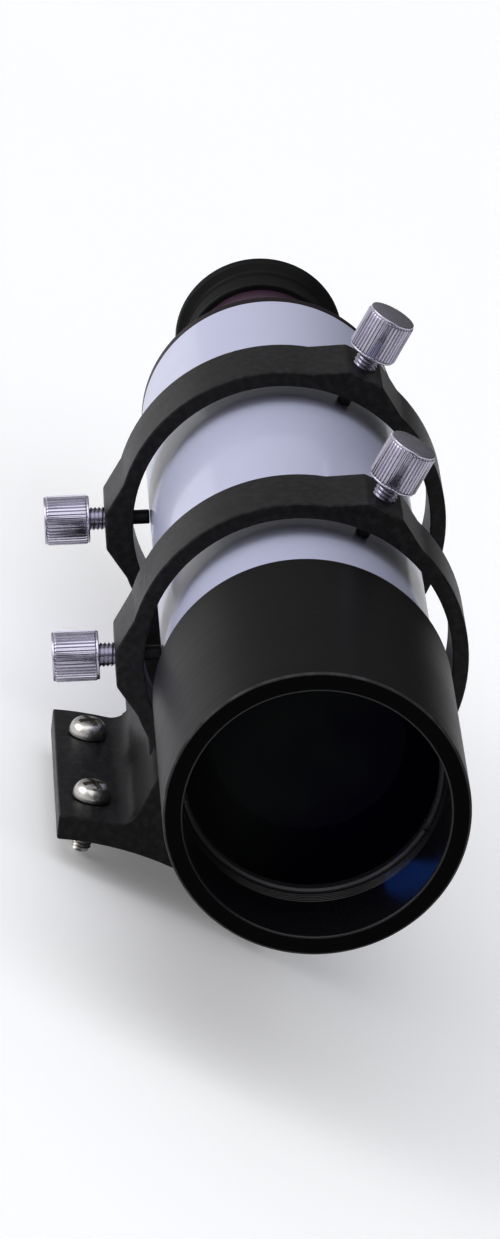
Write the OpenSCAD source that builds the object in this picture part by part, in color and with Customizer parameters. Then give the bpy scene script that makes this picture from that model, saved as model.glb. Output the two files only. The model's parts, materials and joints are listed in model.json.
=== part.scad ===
// Straight-through finder scope in a two-ring bracket with a curved screw-down foot.
// Millimetres. The origin is the crown of the foot's curved underside, at the middle
// of the foot. +Z points from the foot to the optical axis, and the objective faces -Y.
// Distances called "behind the rim" run along the optical axis from the front rim.

/* [Objective cell] */
// Outside diameter of the objective cell
cell_d = 60; // [57:0.5:72]
// Length of the objective cell from its rim to the back of its skirt
cell_len = 57; // [47:1:69]
// Bore of the cell in front of and around the lens
cell_bore_d = 52; // [51:0.1:53]
// Depth of the lens retaining ring behind the rim
lens_recess = 19.6; // [16:0.2:24]
// Depth that the focusing travel leaves between the lens seat and the tube
focus_room = 3.4; // [2.8:0.1:4.5]

/* [Objective lens] */
// Length of the retaining ring
retainer_len = 2.3; // [1.9:0.1:3]
// Radial width of the retaining ring
retainer_wall = 1; // [0.8:0.1:1.2]
// Radius of the crown lens's front face
crown_front_r = 120; // [100:5:150]
// Radius of the faces where the two lenses meet
inner_lens_r = 90; // [80:5:110]
// Radius of the flint lens's back face
flint_back_r = 430; // [350:10:600]
// Thickness of the crown lens at its centre
crown_t = 9; // [8:0.1:11]
// Thickness of the flint lens at its centre
flint_t = 3.6; // [3:0.1:4.5]
// Radial width of the shoulder that the lens sits on
seat_lip = 1.2; // [1:0.1:1.5]
// Length of that shoulder
seat_len = 2.4; // [2:0.1:3]

/* [Main tube] */
// Outside diameter of the main tube
tube_d = 54.6; // [53:0.1:56]
// Wall of the main tube
tube_wall = 1.6; // [1.2:0.1:2]
// Back end of the main tube, behind the rim
tube_back = 205.6; // [190:1:247]

/* [Eyepiece end] */
// Thickness of the rear adapter's flange
flange_t = 2.4; // [2:0.1:3]
// Length of the adapter's spigot inside the main tube
spigot_len = 8; // [6.5:0.5:10]
// Outside diameter of the adapter's nose
nose_d = 34; // [32:0.5:40]
// Length of the adapter behind the main tube
adapter_len = 18.4; // [16:0.4:22]
// Outside diameter of the eyepiece barrel
barrel_d = 30; // [29:0.5:31.5]
// Length of the eyepiece barrel behind the adapter
barrel_len = 26; // [23:0.5:30]
// Diameter of the eyepiece barrel inside the adapter
barrel_fit_d = 28; // [27:0.1:28.6]
// Bore of the eyepiece barrel
barrel_bore_d = 24; // [23:0.1:24.6]
// Diameter of the eye lens
eye_lens_d = 18; // [17:0.1:20]
// Free diameter of the field stop
field_stop_d = 19; // [16:0.5:21]
// Thickness of the crosshair wires
wire_d = 0.2; // [0.15:0.01:0.3]
// Diameter over the eyecup's lip
eyecup_d = 36.8; // [35:0.2:42]
// Length of the eyecup
eyecup_len = 12; // [11.6:0.2:15.8]

/* [Bracket rings] */
// Inside diameter of the two rings
ring_id = 62.2; // [61.5:0.1:72]
// Wall of the rings
ring_wall = 3.3; // [2.8:0.1:4]
// Width of the rings along the tube
ring_w = 16; // [13.4:0.5:19.2]
// Front face of the front ring, behind the rim
ring_front = 74.5; // [68:0.5:89]
// Distance between the two rings
ring_pitch = 71.7; // [60:0.5:86]
// Height of the screw bosses above the rings
boss_rise = 2.4; // [2:0.1:3]
// Width of the flat on a screw boss
boss_pad = 7.8; // [6.5:0.1:9.4]
// Width of a screw boss where it meets the ring
boss_base = 21; // [18:0.5:25]

/* [Bracket foot] */
// Height of the optical axis above the crown of the foot
axis_h = 52; // [50:0.5:62]
// Radius of the foot's curved underside
saddle_r = 65; // [55:0.5:78]
// Width of the foot
foot_w = 54; // [52:0.5:64]
// Length of the foot
foot_len = 54; // [45:0.5:64]
// Thickness of the foot
foot_t = 5.3; // [4.4:0.1:6.4]
// Width of the neck between the foot and the rings
neck_w = 26.2; // [22:0.2:28]
// Radius of the blend between the neck and a ring
ring_fillet = 9.5; // [8:0.5:11]
// Radius of the blend between the neck and the foot
foot_fillet = 4; // [3.3:0.1:4.8]
// Height of the top of the beam between the rings
beam_top = 14; // [12:0.5:15]
// Height of the beam's underside behind the foot
beam_under = 6; // [5:0.2:7]

/* [Foot screws] */
// Distance between the foot screws along the foot
foot_screw_pitch = 31.7; // [27:0.1:38]
// Distance of the foot screws from the middle plane
foot_screw_x = 20.5; // [19.5:0.1:22]
// Thread diameter of the foot screws
foot_screw_d = 4; // [3.5:0.1:4.5]
// Length of the foot screws below their heads
foot_screw_len = 12; // [10:0.5:16]
// Diameter of the foot screws' heads
foot_head_d = 8; // [7:0.1:8.4]
// Height of the foot screws' heads
foot_head_h = 3.1; // [2.6:0.1:3.7]

/* [Thumbscrews] */
// Diameter of the knurled heads
head_d = 10.4; // [9:0.1:12.4]
// Length of the knurled heads
head_len = 9.5; // [8:0.1:11.4]
// Bare thread between a head and its boss
head_gap = 3.2; // [3:0.1:4]
// Thread diameter of the thumbscrews
thumb_d = 5; // [4.2:0.1:6]
// Diameter of the soft tips
tip_d = 3; // [2.6:0.1:3.6]
// Diameter of the spigot that holds a tip in its screw
tip_spigot_d = 2; // [1.8:0.1:2.2]
// Length of that spigot
tip_spigot_len = 3.4; // [2.8:0.1:4]

/* [Clearances] */
// Radial clearance of a thread or a running fit
run_clear = 0.05; // [0.03:0.01:0.08]
// Gap between a soft tip and the main tube
tip_gap = 0.1; // [0.05:0.01:0.2]
// Gap between pieces that rest against each other
touch_gap = 0.02; // [0.01:0.01:0.04]

/* [Hidden] */
$fn = 96;
cut = 1;                                    // overrun of a cutting shape

// Radii
cell_r = cell_d / 2;
lens_bore_r = cell_bore_d / 2;
in_bore_r = lens_bore_r - run_clear;        // the objective lens and its retaining ring
retainer_r = in_bore_r - retainer_wall;
seat_r = lens_bore_r - seat_lip;
tube_r = tube_d / 2;
tube_in_r = tube_r - tube_wall;
ring_r = ring_id / 2 + ring_wall;
pad_r = ring_r + boss_rise;                 // the flat of a boss, from the optical axis
foot_top_r = saddle_r + foot_t;             // the foot's upper face, from the saddle's axis

// Places along the optical axis, behind the rim
retainer_back = lens_recess + retainer_len;
crown_s = retainer_back + touch_gap - sag(crown_front_r, retainer_r);
flint_s = crown_s + crown_t + touch_gap;
seat_s = flint_s + flint_t - sag(flint_back_r, seat_r) + touch_gap;
tube_s = seat_s + seat_len + focus_room;
adapter_back = tube_back + adapter_len;
barrel_back = adapter_back + barrel_len;
ring_fronts = [ring_front, ring_front + ring_pitch];
foot_front = ring_front;
rim_y = -(foot_front + foot_len / 2);       // the front rim's place along Y

// Thumbscrews, measured outward from the optical axis
tip_r0 = tube_r + tip_gap;
shank_r0 = ring_id / 2 + 0.3;
head_r0 = pad_r + head_gap;
screw_angles = [0, -120, 120];              // top, left, right, from +Z towards +X

// Foot screws
foot_screw_angle = asin(foot_screw_x / foot_top_r);
foot_seat_r = foot_top_r - 0.15;            // the flat under a screw's head

// Eyepiece lenses, from the eye end forwards
eye_lens_r = eye_lens_d / 2;
eye_back_r = 30;
eye_inner_r = 20;
field_back_r = 24;
eye_crown_t = 4.6;
eye_flint_t = 1.2;
field_t = 5;
eye_lip = 1.5;                              // length of the lip that holds the eye lens
eye_lip_r = eye_lens_r - 0.7;
barrel_bore_r = barrel_bore_d / 2;
eye_crown_back = barrel_back - eye_lip + sag(eye_back_r, eye_lip_r) - touch_gap;
eye_crown_s = eye_crown_back - eye_crown_t;
eye_flint_s = eye_crown_s - touch_gap - eye_flint_t;
spacer_len = 4.8;
spacer_s = eye_flint_s - touch_gap - spacer_len;
field_back = spacer_s + sag(field_back_r, eye_lip_r) - touch_gap;
field_s = field_back - field_t;
lock_len = 2;
lock_s = field_s - touch_gap - lock_len;
reticle_len = 2;
reticle_s = adapter_back - 1;

// Depth of a spherical face of radius r at a distance x from its axis
function sag(r, x) = r - sqrt(r * r - x * x);

// Points of a spherical face: vertex at s, bulging towards the front for a positive r
function face(s, r, edge, steps = 16) =
    [for (i = [0:steps]) let (x = edge * i / steps) [x, s + sign(r) * sag(abs(r), x)]];

function backwards(list) = [for (i = [len(list) - 1:-1:0]) list[i]];

// An outline of [radius, distance behind the rim], turned about the optical axis
module turned(points) {
    translate([0, rim_y, axis_h])
        rotate([-90, 0, 0])
            rotate_extrude() polygon(points);
}

// A lens between a front face and a back face
module lens(s, thickness, front_r, back_r, edge) {
    turned(concat(face(s, front_r, edge), backwards(face(s + thickness, back_r, edge))));
}

// An outline drawn in X and Z, running back along Y from a distance behind the rim
module slab(s, length) {
    translate([0, rim_y + s + length, 0])
        rotate([90, 0, 0])
            linear_extrude(length) children();
}

// Local Z runs outward from the optical axis at a screw's place
module at_screw(s, angle) {
    translate([0, rim_y + s, axis_h])
        rotate([0, angle, 0]) children();
}

// Local Z runs outward from the saddle's axis at each foot screw
module at_foot_screws() {
    for (y = [-1, 1] * foot_screw_pitch / 2, side = [-1, 1])
        translate([0, y, -saddle_r])
            rotate([0, side * foot_screw_angle, 0]) children();
}

// ---- bracket ----

module boss_outline() {
    foot_z = sqrt(pow(ring_r, 2) - pow(boss_base / 2, 2));
    polygon([
        [-boss_pad / 2, pad_r], [boss_pad / 2, pad_r],
        [boss_base / 2, foot_z], [boss_base / 2 - 2, foot_z - 2],
        [2 - boss_base / 2, foot_z - 2], [-boss_base / 2, foot_z]
    ]);
}

// The hollow blend between a side of the neck and a round shape of radius r, whose
// centre is at height z: up is -1 where the neck hangs from it, 1 where it stands on it
module neck_blend(r, z, blend, up) {
    centre_x = neck_w / 2 + blend;
    centre_z = z + up * sqrt(pow(r + blend, 2) - pow(centre_x, 2));
    share = r / (r + blend);
    touch_z = z + (centre_z - z) * share;
    for (side = [0, 1])
        mirror([side, 0])
            difference() {
                polygon([
                    [neck_w / 2 - 1, centre_z], [centre_x, centre_z],
                    [centre_x * share, touch_z], [neck_w / 2 - 1, touch_z - up * 1.2]
                ]);
                translate([centre_x, centre_z]) circle(blend);
            }
}

module ring_outline(neck_bottom) {
    joint_z = axis_h - sqrt(pow(ring_r, 2) - pow(neck_w / 2, 2));
    difference() {
        union() {
            translate([0, axis_h]) {
                circle(ring_r);
                for (a = screw_angles) rotate(-a) boss_outline();
            }
            translate([-neck_w / 2, neck_bottom])
                square([neck_w, joint_z + 1 - neck_bottom]);
            neck_blend(ring_r, axis_h, ring_fillet, -1);
        }
        translate([0, axis_h]) circle(d = ring_id);
    }
}

// The foot's ends are square to its curve
module foot_outline() {
    height = 2 * foot_top_r * cos(asin(foot_w / 2 / foot_top_r));
    translate([0, -saddle_r])
        intersection() {
            circle(foot_top_r, $fn = 180);
            polygon([[0, 0], [-foot_w, height], [foot_w, height]]);
        }
}

module bracket() {
    color("#26262a")
    difference() {
        union() {
            slab(ring_fronts[0], ring_w) ring_outline(0);
            slab(ring_fronts[1], ring_w) ring_outline(beam_under);
            slab(foot_front, foot_len) {
                foot_outline();
                neck_blend(foot_top_r, -saddle_r, foot_fillet, 1);
                translate([-neck_w / 2, 0]) square([neck_w, beam_top]);
            }
            slab(foot_front, ring_pitch + ring_w)
                translate([-neck_w / 2, beam_under]) square([neck_w, beam_top - beam_under]);
        }
        translate([0, -foot_len, -saddle_r])
            rotate([-90, 0, 0]) cylinder(r = saddle_r, h = 2 * foot_len, $fn = 180);
        at_foot_screws() {
            cylinder(d = foot_screw_d + 0.5, h = foot_top_r + cut);
            translate([0, 0, foot_seat_r]) cylinder(d = foot_head_d + 1, h = 3);
        }
        for (s = ring_fronts, a = screw_angles)
            at_screw(s + ring_w / 2, a)
                translate([0, 0, ring_id / 2 - cut])
                    cylinder(r = thumb_d / 2 + run_clear, h = pad_r - ring_id / 2 + 2 * cut);
    }
}

// ---- foot screws ----

module foot_screws() {
    head_r = foot_head_d / 2;
    thread_r = foot_screw_d / 2;
    grip_r = thread_r - 0.3;                // plain shank inside the foot, thinner than the thread
    grip_len = foot_seat_r - saddle_r;
    bevel = 0.4;
    color("#c9c8c4")
    at_foot_screws()
        translate([0, 0, foot_seat_r])
            difference() {
                rotate_extrude()
                    polygon([
                        [0, foot_head_h], [head_r * 0.45, foot_head_h * 0.96],
                        [head_r * 0.75, foot_head_h * 0.82], [head_r * 0.93, foot_head_h * 0.55],
                        [head_r, foot_head_h * 0.22], [head_r, 0], [grip_r, 0],
                        [grip_r, -grip_len], [thread_r, -grip_len],
                        [thread_r, bevel - foot_screw_len],
                        [thread_r - bevel, -foot_screw_len], [0, -foot_screw_len]
                    ]);
                for (turn = [0, 90])
                    rotate(turn)
                        translate([-foot_head_d * 0.27, -0.5, foot_head_h * 0.5])
                            cube([foot_head_d * 0.54, 1, foot_head_h]);
            }
}

// ---- thumbscrews and their soft tips ----

module thumbscrew(ring, angle) {
    head_r = head_d / 2;
    bevel = 0.5;
    color("#d6d6da")
    at_screw(ring_fronts[ring] + ring_w / 2, angle)
        rotate_extrude()
            polygon([
                [tip_spigot_d / 2 + run_clear, shank_r0], [thumb_d / 2 - bevel, shank_r0],
                [thumb_d / 2, shank_r0 + bevel], [thumb_d / 2, head_r0],
                [head_r - bevel, head_r0], [head_r, head_r0 + bevel],
                [head_r, head_r0 + head_len - bevel], [head_r - bevel, head_r0 + head_len],
                [0, head_r0 + head_len], [0, shank_r0 + tip_spigot_len + 0.2],
                [tip_spigot_d / 2 + run_clear, shank_r0 + tip_spigot_len + 0.2]
            ]);
}

module soft_tip(ring, angle) {
    color("#3a3a3c")
    at_screw(ring_fronts[ring] + ring_w / 2, angle)
        rotate_extrude()
            polygon([
                [0, tip_r0], [tip_d / 2 - 0.3, tip_r0], [tip_d / 2, tip_r0 + 0.3],
                [tip_d / 2, shank_r0 - touch_gap], [tip_spigot_d / 2, shank_r0 - touch_gap],
                [tip_spigot_d / 2, shank_r0 + tip_spigot_len],
                [0, shank_r0 + tip_spigot_len]
            ]);
}

// ---- optical tube ----

module main_tube() {
    color("#eceef4")
    turned([
        [tube_in_r, tube_s], [tube_r, tube_s], [tube_r, tube_back], [tube_in_r, tube_back]
    ]);
}

module objective_cell() {
    bevel = 0.6;
    skirt_r = tube_r + run_clear;
    color("#1d1b1c")
    turned([
        [cell_r - bevel, 0], [cell_r, bevel], [cell_r, cell_len - bevel],
        [cell_r - bevel, cell_len], [skirt_r, cell_len], [skirt_r, seat_s + seat_len],
        [seat_r, seat_s + seat_len], [seat_r, seat_s], [lens_bore_r, seat_s],
        [lens_bore_r, bevel], [lens_bore_r + bevel, 0]
    ]);
}

module lens_retaining_ring() {
    color("#4b4b4d")
    difference() {
        turned([
            [in_bore_r, lens_recess], [in_bore_r, retainer_back], [retainer_r, retainer_back],
            [retainer_r, lens_recess + 0.5], [retainer_r + 0.5, lens_recess]
        ]);
        for (side = [-1, 1])
            translate([side * (in_bore_r + retainer_r) / 2, rim_y + lens_recess, axis_h])
                cube([3, 1.6, 1.4], center = true);
    }
}

module crown_lens() {
    color("#27304a", 0.6)
    lens(crown_s, crown_t, crown_front_r, -inner_lens_r, in_bore_r);
}

module flint_lens() {
    color("#2a2a44", 0.6)
    lens(flint_s, flint_t, -inner_lens_r, -flint_back_r, in_bore_r);
}

module rear_adapter() {
    spigot_r = tube_in_r - run_clear;
    bore_r = barrel_fit_d / 2 + run_clear;
    nose_r = nose_d / 2;
    cone_back = tube_back + flange_t + (tube_r - nose_r) * 0.85;
    color("#201d22")
    turned([
        [bore_r + 4, tube_back - spigot_len], [spigot_r, tube_back - spigot_len],
        [spigot_r, tube_back + touch_gap], [tube_r, tube_back + touch_gap],
        [tube_r, tube_back + flange_t - 0.5], [tube_r - 0.5, tube_back + flange_t],
        [nose_r + 1, cone_back - 1], [nose_r, cone_back], [nose_r, adapter_back - 0.5],
        [nose_r - 0.5, adapter_back], [bore_r, adapter_back], [bore_r, tube_back],
        [bore_r + 4, tube_back - 2]
    ]);
}

module eyepiece_barrel() {
    fit_r = barrel_fit_d / 2;
    shoulder = eye_flint_s - touch_gap;
    color("#221d24")
    turned([
        [barrel_bore_r, tube_back + 1], [fit_r, tube_back + 1],
        [fit_r, adapter_back + touch_gap], [barrel_d / 2, adapter_back + touch_gap],
        [barrel_d / 2, barrel_back - 0.5], [barrel_d / 2 - 0.5, barrel_back],
        [eye_lip_r + 0.5, barrel_back], [eye_lip_r, barrel_back - 0.5],
        [eye_lip_r, barrel_back - eye_lip], [eye_lens_r + run_clear, barrel_back - eye_lip],
        [eye_lens_r + run_clear, shoulder], [barrel_bore_r, shoulder]
    ]);
}

// A plain ring that screws into the eyepiece barrel's bore
module bore_ring(inner_r, s, length) {
    turned([
        [inner_r, s], [barrel_bore_r - run_clear, s],
        [barrel_bore_r - run_clear, s + length], [inner_r, s + length]
    ]);
}

module reticle_ring() {
    color("#b59a4c") bore_ring(field_stop_d / 2, reticle_s, reticle_len);
}

module crosshair() {
    color("#2b2b2b")
    translate([0, rim_y + reticle_s + reticle_len + wire_d / 2, axis_h])
        for (turn = [0, 90])
            rotate([0, turn, 0])
                cylinder(d = wire_d, h = field_stop_d + 2, center = true, $fn = 16);
}

module eyepiece_lock_ring() {
    color("#2a2a2c") bore_ring(barrel_bore_r - 1.6, lock_s, lock_len);
}

module field_lens() {
    edge = barrel_bore_r - run_clear;
    color("#3c4a5a", 0.6)
    turned(concat([[0, field_s], [edge, field_s]],
                  backwards(face(field_back, -field_back_r, edge))));
}

module lens_spacer() {
    color("#2a2a2c") bore_ring(eye_lip_r, spacer_s, spacer_len);
}

module eye_flint_lens() {
    color("#3c4a5a", 0.6)
    turned(concat([[0, eye_flint_s], [eye_lens_r, eye_flint_s]],
                  backwards(face(eye_flint_s + eye_flint_t, eye_inner_r, eye_lens_r))));
}

module eye_crown_lens() {
    color("#3c4a5a", 0.6)
    lens(eye_crown_s, eye_crown_t, eye_inner_r, -eye_back_r, eye_lens_r);
}

module eyecup() {
    sleeve_r = barrel_d / 2 + touch_gap;
    lip_r = eyecup_d / 2;
    back = barrel_back + 6.2;
    front = back - eyecup_len;
    web = barrel_back + touch_gap;
    color("#232323")
    turned([
        [sleeve_r, front], [sleeve_r + 1.4, front], [sleeve_r + 1.4, barrel_back - 0.6],
        [sleeve_r + 0.9, barrel_back + 0.8], [sleeve_r + 1.2, back - 4],
        [lip_r - 0.5, back - 2.9], [lip_r, back - 2], [lip_r, back - 0.8],
        [lip_r - 0.6, back], [lip_r - 1.6, back], [lip_r - 2.6, back - 1.1],
        [lip_r - 4.6, back - 3.6], [lip_r - 6, web + 1.5], [eye_lip_r + 1, web + 1.2],
        [eye_lip_r + 1, web], [sleeve_r, web]
    ]);
}

bracket();
foot_screws();
thumbscrew(0, screw_angles[0]);  // thumbscrew_front_top
thumbscrew(0, screw_angles[1]);  // thumbscrew_front_left
thumbscrew(0, screw_angles[2]);  // thumbscrew_front_right
thumbscrew(1, screw_angles[0]);  // thumbscrew_rear_top
thumbscrew(1, screw_angles[1]);  // thumbscrew_rear_left
thumbscrew(1, screw_angles[2]);  // thumbscrew_rear_right
soft_tip(0, screw_angles[0]);  // tip_front_top
soft_tip(0, screw_angles[1]);  // tip_front_left
soft_tip(0, screw_angles[2]);  // tip_front_right
soft_tip(1, screw_angles[0]);  // tip_rear_top
soft_tip(1, screw_angles[1]);  // tip_rear_left
soft_tip(1, screw_angles[2]);  // tip_rear_right
main_tube();
objective_cell();
lens_retaining_ring();
crown_lens();
flint_lens();
rear_adapter();
eyepiece_barrel();
reticle_ring();
crosshair();
eyepiece_lock_ring();
field_lens();
lens_spacer();
eye_flint_lens();
eye_crown_lens();
eyecup();
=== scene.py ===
"""Finder scope: builds the visible pieces around the packed, jointed frame.

Lengths are metres. The optical axis runs along +Y at the height AXIS_Z, and the
objective faces -Y. The corners of an outline that is turned about the axis are
written as (radius, y, rounding).
"""

import json
import math

import bmesh
import bpy
from mathutils import Matrix, Vector


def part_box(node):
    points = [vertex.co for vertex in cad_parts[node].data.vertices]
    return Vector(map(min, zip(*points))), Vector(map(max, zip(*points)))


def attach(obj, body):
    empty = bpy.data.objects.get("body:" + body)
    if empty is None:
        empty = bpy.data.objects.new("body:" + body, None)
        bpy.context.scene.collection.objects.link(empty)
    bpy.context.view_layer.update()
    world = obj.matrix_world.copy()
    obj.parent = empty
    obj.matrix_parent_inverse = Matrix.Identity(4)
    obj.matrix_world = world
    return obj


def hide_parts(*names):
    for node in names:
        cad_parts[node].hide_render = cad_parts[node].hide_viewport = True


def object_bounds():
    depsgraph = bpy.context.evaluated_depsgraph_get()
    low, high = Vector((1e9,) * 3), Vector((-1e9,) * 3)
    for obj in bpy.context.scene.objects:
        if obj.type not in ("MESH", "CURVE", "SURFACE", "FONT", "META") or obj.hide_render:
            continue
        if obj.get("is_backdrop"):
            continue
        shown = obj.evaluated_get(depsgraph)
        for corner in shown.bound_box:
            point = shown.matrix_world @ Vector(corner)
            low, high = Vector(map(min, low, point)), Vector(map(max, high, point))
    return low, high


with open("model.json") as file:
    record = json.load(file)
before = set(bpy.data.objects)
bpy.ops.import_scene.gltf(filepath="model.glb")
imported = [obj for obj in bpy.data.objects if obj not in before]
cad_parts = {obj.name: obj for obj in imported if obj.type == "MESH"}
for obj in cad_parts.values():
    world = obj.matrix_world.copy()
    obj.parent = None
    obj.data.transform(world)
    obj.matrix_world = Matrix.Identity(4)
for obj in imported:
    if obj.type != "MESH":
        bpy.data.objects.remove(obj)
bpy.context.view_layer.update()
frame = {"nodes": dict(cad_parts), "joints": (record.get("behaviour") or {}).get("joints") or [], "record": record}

bl_info = {
    "name": "Finder Scope",
    "version": (1, 0, 0),
    "blender": (4, 5, 0),
    "location": "3D View > Sidebar > Finder",
    "description": "Builds a finder scope with its bracket, screws, lenses and stage",
    "category": "Object",
}

MM = 0.001
SIDES = 192                     # facets round a turned piece
GAP = 0.02 * MM                 # between pieces that rest against each other
FIT = 0.05 * MM                 # between a bore and what fits in it
TUBE_WALL = 1.6 * MM            # of the main tube, round the adapter's spigot
SMOOTH_ANGLE = math.radians(38) # shading is smooth across edges up to this
SCREW_NAMES = [f"{ring}_{place}" for ring in ("front", "rear") for place in ("top", "left", "right")]

CELL_LOW, CELL_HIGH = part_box("objective_cell")
TUBE_LOW, TUBE_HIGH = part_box("main_tube")
AXIS_Z = (CELL_LOW.z + CELL_HIGH.z) / 2


def radius_of(node):
    low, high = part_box(node)
    return (high.x - low.x) / 2


CELL_R = radius_of("objective_cell")
TUBE_R = radius_of("main_tube")
RING_R = radius_of("lens_retaining_ring")
LENS_R = radius_of("crown_lens")
BARREL_R = radius_of("eyepiece_barrel")
CUP_R = radius_of("eyecup")
EYE_LENS_R = radius_of("eye_crown_lens")


# ---- settings ----

def length(name, text, size, low=0.0):
    return bpy.props.FloatProperty(
        name=name, description=text, default=size * MM, min=low * MM, precision=5, unit="LENGTH")


def share(name, text, value):
    return bpy.props.FloatProperty(
        name=name, description=text, default=value, min=0.0, max=1.0, subtype="FACTOR")


def tint(name, text, colour):
    return bpy.props.FloatVectorProperty(
        name=name, description=text, default=colour, size=3, min=0.0, max=1.0, subtype="COLOR")


class FinderTubeSettings(bpy.types.PropertyGroup):
    """Details of the turned pieces that the frame doesn't fix"""

    edge_round: length("Edge rounding", "Rounding of the turned outer edges", 0.5)
    mouth_round: length("Bore mouth rounding", "Rounding of the edge where the cell's bore opens", 0.45)
    fine_round: length("Fine rounding", "Rounding of thin walls and inner edges", 0.25)
    thread_pitch: length("Bore thread pitch", "Pitch of the thread that holds the retaining ring", 0.75, 0.2)
    thread_turns: bpy.props.IntProperty(
        name="Bore thread turns", description="Grooves in front of the retaining ring",
        default=5, min=0, max=20)
    crown_front: length("Lens front radius", "Radius of the objective's front face", 120, 40)
    crown_back: length("Lens back radius", "Radius of the crown lens's back face", 90, 40)
    slot_width: length("Spanner slot width", "Width of the retaining ring's two slots", 3, 0.5)
    nose_d: length("Adapter nose", "Outside diameter of the rear adapter's nose", 34, 30)
    flange: length("Adapter flange", "Thickness of the rear adapter's flange", 2.4, 0.5)
    barrel_fit: length("Barrel fit", "Diameter of the eyepiece barrel inside the adapter", 28, 20)
    eye_back: length("Eye lens radius", "Radius of the eye lens's back face", 30, 12)
    eye_front: length("Eye lens inner radius", "Radius of the eye lens's cemented face", 20, 12)
    cup_wall: length("Eyecup wall", "Thickness of the eyecup's sleeve", 1.4, 0.6)


class FinderScrewSettings(bpy.types.PropertyGroup):
    """Details of the thumbscrews and the foot screws"""

    head_length: length("Head length", "Length of a thumbscrew's knurled head", 9.5, 3)
    rim: length("Polished rim", "Width of the plain rim at each end of a knurled head", 0.45, 0.1)
    ridge_depth: length("Knurl depth", "Depth of the grooves between the knurl's ridges", 0.42, 0.05)
    ridges: bpy.props.IntProperty(
        name="Knurl ridges", description="Ridges round a thumbscrew's head", default=40, min=8, max=120)
    shank_d: length("Thumbscrew thread", "Thread diameter of the thumbscrews", 5, 1)
    pitch: length("Thumbscrew pitch", "Thread pitch of the thumbscrews", 0.8, 0.2)
    spigot_d: length("Tip spigot", "Diameter of the soft tip's spigot in its screw", 2, 0.5)
    pan_d: length("Pan head", "Diameter of the foot screws' heads", 8, 3)
    pan_height: length("Pan head height", "Height of the foot screws' heads", 3.1, 0.5)
    foot_d: length("Foot screw thread", "Thread diameter of the foot screws", 4, 1)
    foot_grip_d: length("Foot screw grip", "Diameter of the plain shank inside the foot", 3.4, 1)
    foot_length: length("Foot screw length", "Length of a foot screw below its head", 11.95, 3)
    foot_pitch: length("Foot screw pitch", "Thread pitch of the foot screws", 0.7, 0.2)
    recess_width: length("Recess width", "Width of the cross recess's arms", 1.3, 0.2)
    recess_span: length("Recess span", "Distance across the cross recess", 5, 1)
    recess_turn: bpy.props.FloatProperty(
        name="Recess turn", description="How far the cross recess is turned in the tightened screws",
        default=math.radians(28), subtype="ANGLE", unit="ROTATION")


class FinderBracketSettings(bpy.types.PropertyGroup):
    """Details of the cast bracket"""

    casting_round: length("Casting rounding", "Rounding of the casting's edges", 0.45)
    grain: length("Paint grain", "Size of the paint's fine grain", 0.5, 0.05)


class FinderFinishSettings(bpy.types.PropertyGroup):
    """Colours of the finishes"""

    casting: tint("Casting black", "Satin paint of the bracket", (0.0075, 0.0070, 0.0075))
    cell: tint("Cell black", "Finish of the objective cell", (0.0050, 0.0040, 0.0044))
    bore: tint("Bore black", "Black paint inside the objective cell", (0.0045, 0.0040, 0.0055))
    # Darker than the cell's black: painted shade on the front face, which faces away from the lights
    face: tint("Face black", "Matt black of the cell's front face", (0.0020, 0.0016, 0.0017))
    tube: tint("Tube white", "Gloss paint of the main tube", (0.415, 0.425, 0.550))
    anodised: tint("Anodised black", "Finish of the rear adapter", (0.012, 0.006, 0.009))
    barrel: tint("Anodised plum", "Finish of the eyepiece barrel", (0.042, 0.021, 0.036))
    rubber: tint("Rubber", "Colour of the eyecup", (0.0046, 0.0047, 0.0046))
    nickel: tint("Nickel plate", "Plating of the thumbscrews", (0.54, 0.52, 0.60))
    steel: tint("Steel", "Foot screws", (0.58, 0.56, 0.53))
    tip: tint("Soft tip", "Plastic of the screws' tips", (0.015, 0.015, 0.017))
    coating: tint("Lens coating", "Colour that the coated objective reflects", (0.50, 0.52, 0.85))
    floor: tint("Floor", "Colour of the stage's floor", (0.93, 0.93, 0.935))
    # For the cell this also scales the painted highlight along its rim
    wear: share("Edge wear", "How much the dark paint lightens along its edges", 0.4)


class FinderStageSettings(bpy.types.PropertyGroup):
    """Camera and lights"""

    lens: bpy.props.FloatProperty(
        name="Focal length", description="Focal length of the camera in millimetres",
        default=252.0, min=20.0, max=600.0, unit="CAMERA")
    distance: length("Distance", "Camera's distance from the front ring", 1769, 200)
    roll: bpy.props.FloatProperty(
        name="Roll", description="Turn of the camera about its own axis",
        default=math.radians(-1.8), subtype="ANGLE", unit="ROTATION")
    bright: share("Bright side", "Brightness of the room at the upper left", 0.85)
    dim: share("Dim side", "Brightness of the room opposite the bright side", 0.12)
    key: bpy.props.FloatProperty(
        name="Key light", description="Strength of the broad light at the upper left",
        default=1.6, min=0.0)
    top: bpy.props.FloatProperty(
        name="Top light", description="Strength of the broad light above", default=1.3, min=0.0)
    glow: bpy.props.FloatProperty(
        name="Lens glow", description="Power of the blue light that the lens throws on the bore",
        default=0.00006, min=0.0, precision=5, unit="POWER")


SETTINGS = {
    "finder_tube": FinderTubeSettings,
    "finder_screws": FinderScrewSettings,
    "finder_bracket": FinderBracketSettings,
    "finder_finish": FinderFinishSettings,
    "finder_stage": FinderStageSettings,
}


# ---- node helpers ----

def add(tree, kind, inputs=None, **settings):
    """A new node with those settings, whose inputs take a value or another node's output."""
    made = tree.nodes.new(kind)
    for key, value in settings.items():
        setattr(made, key, value)
    for key, value in (inputs or {}).items():
        if isinstance(value, bpy.types.NodeSocket):
            tree.links.new(value, made.inputs[key])
        else:
            made.inputs[key].default_value = value
    return made


def maths(tree, operation, *values):
    return add(tree, "ShaderNodeMath", dict(enumerate(values)), operation=operation).outputs[0]


def plus(tree, first, second):
    return maths(tree, "ADD", first, second)


def minus(tree, first, second):
    return maths(tree, "SUBTRACT", first, second)


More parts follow.
